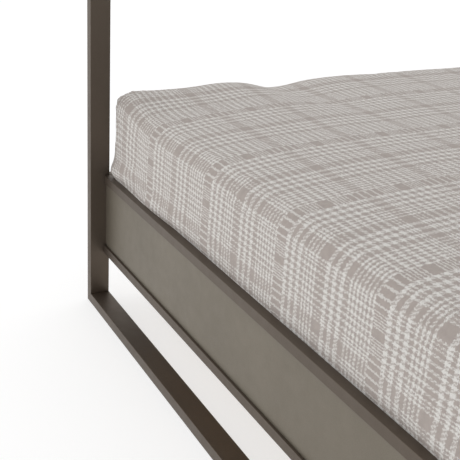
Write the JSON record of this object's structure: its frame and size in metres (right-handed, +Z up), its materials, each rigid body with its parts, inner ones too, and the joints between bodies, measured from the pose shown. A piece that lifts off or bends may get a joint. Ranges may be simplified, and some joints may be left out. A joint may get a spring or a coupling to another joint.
{
  "type": "canopy bed",
  "caption": "Queen-size metal four poster canopy bed: mitred tube loops at foot and head, recessed-panel rails, slatted base, mattress with a plaid cover.",
  "frame": {"origin": "on the floor, under the middle of the bed", "axes": "+Z up, +Y towards the head end, +X towards the right-hand side of someone who stands at the foot end and faces the head"},
  "size_m": [1.5786, 2.1588, 2.1],
  "materials": {
    "bronze_steel": "dark bronze powder coat, satin, fine texture",
    "zinc_steel": "zinc plated",
    "black_steel": "matt black powder coat",
    "slat_wood": "planed pine, unlacquered",
    "foot_plastic": "black nylon",
    "mattress_ticking": "knitted off-white ticking",
    "plaid_cloth": "woven taupe and off-white glen plaid, matt"
  },
  "bodies": {
    "bed_frame": {"beam_hanger_foot": "black_steel", "beam_hanger_head": "black_steel", "canopy_bolt_foot_left": "bronze_steel", "canopy_bolt_foot_right": "bronze_steel", "canopy_bolt_head_left": "bronze_steel", "canopy_bolt_head_right": "bronze_steel", "canopy_rail_foot": "bronze_steel", "canopy_rail_head": "bronze_steel", "canopy_rail_left": "bronze_steel", "canopy_rail_right": "bronze_steel", "centre_beam": "black_steel", "centre_leg": "black_steel", "end_plate_foot_left": "bronze_steel", "end_plate_foot_right": "bronze_steel", "end_plate_head_left": "bronze_steel", "end_plate_head_right": "bronze_steel", "floor_rail_foot": "bronze_steel", "floor_rail_head": "bronze_steel", "foot_rail_bottom_tube": "bronze_steel", "foot_rail_panel": "bronze_steel", "foot_rail_top_tube": "bronze_steel", "head_rail_bottom_tube": "bronze_steel", "head_rail_panel": "bronze_steel", "head_rail_top_tube": "bronze_steel", "headboard_panel": "bronze_steel", "headboard_top_tube": "bronze_steel", "mattress": "mattress_ticking", "mattress_cover": "plaid_cloth", "post_foot_left": "bronze_steel", "post_foot_right": "bronze_steel", "post_head_left": "bronze_steel", "post_head_right": "bronze_steel", "rail_bolt_foot_left_lower": "zinc_steel", "rail_bolt_foot_left_upper": "zinc_steel", "rail_bolt_foot_right_lower": "zinc_steel", "rail_bolt_foot_right_upper": "zinc_steel", "rail_bolt_head_left_lower": "zinc_steel", "rail_bolt_head_left_upper": "zinc_steel", "rail_bolt_head_right_lower": "zinc_steel", "rail_bolt_head_right_upper": "zinc_steel", "side_rail_left_bottom_tube": "bronze_steel", "side_rail_left_panel": "bronze_steel", "side_rail_left_top_tube": "bronze_steel", "side_rail_right_bottom_tube": "bronze_steel", "side_rail_right_panel": "bronze_steel", "side_rail_right_top_tube": "bronze_steel", "slat_01": "slat_wood", "slat_02": "slat_wood", "slat_03": "slat_wood", "slat_04": "slat_wood", "slat_05": "slat_wood", "slat_06": "slat_wood", "slat_07": "slat_wood", "slat_08": "slat_wood", "slat_09": "slat_wood", "slat_10": "slat_wood", "slat_ledge_left": "black_steel", "slat_ledge_right": "black_steel"},
    "levelling_foot": {"levelling_foot": "foot_plastic"}
  },
  "joints": [
    {"name": "levelling_foot_screw", "type": "slide", "parent": "bed_frame", "child": "levelling_foot", "axis": [0, 0, -1], "range_m": [0, 0.02]}
  ]
}
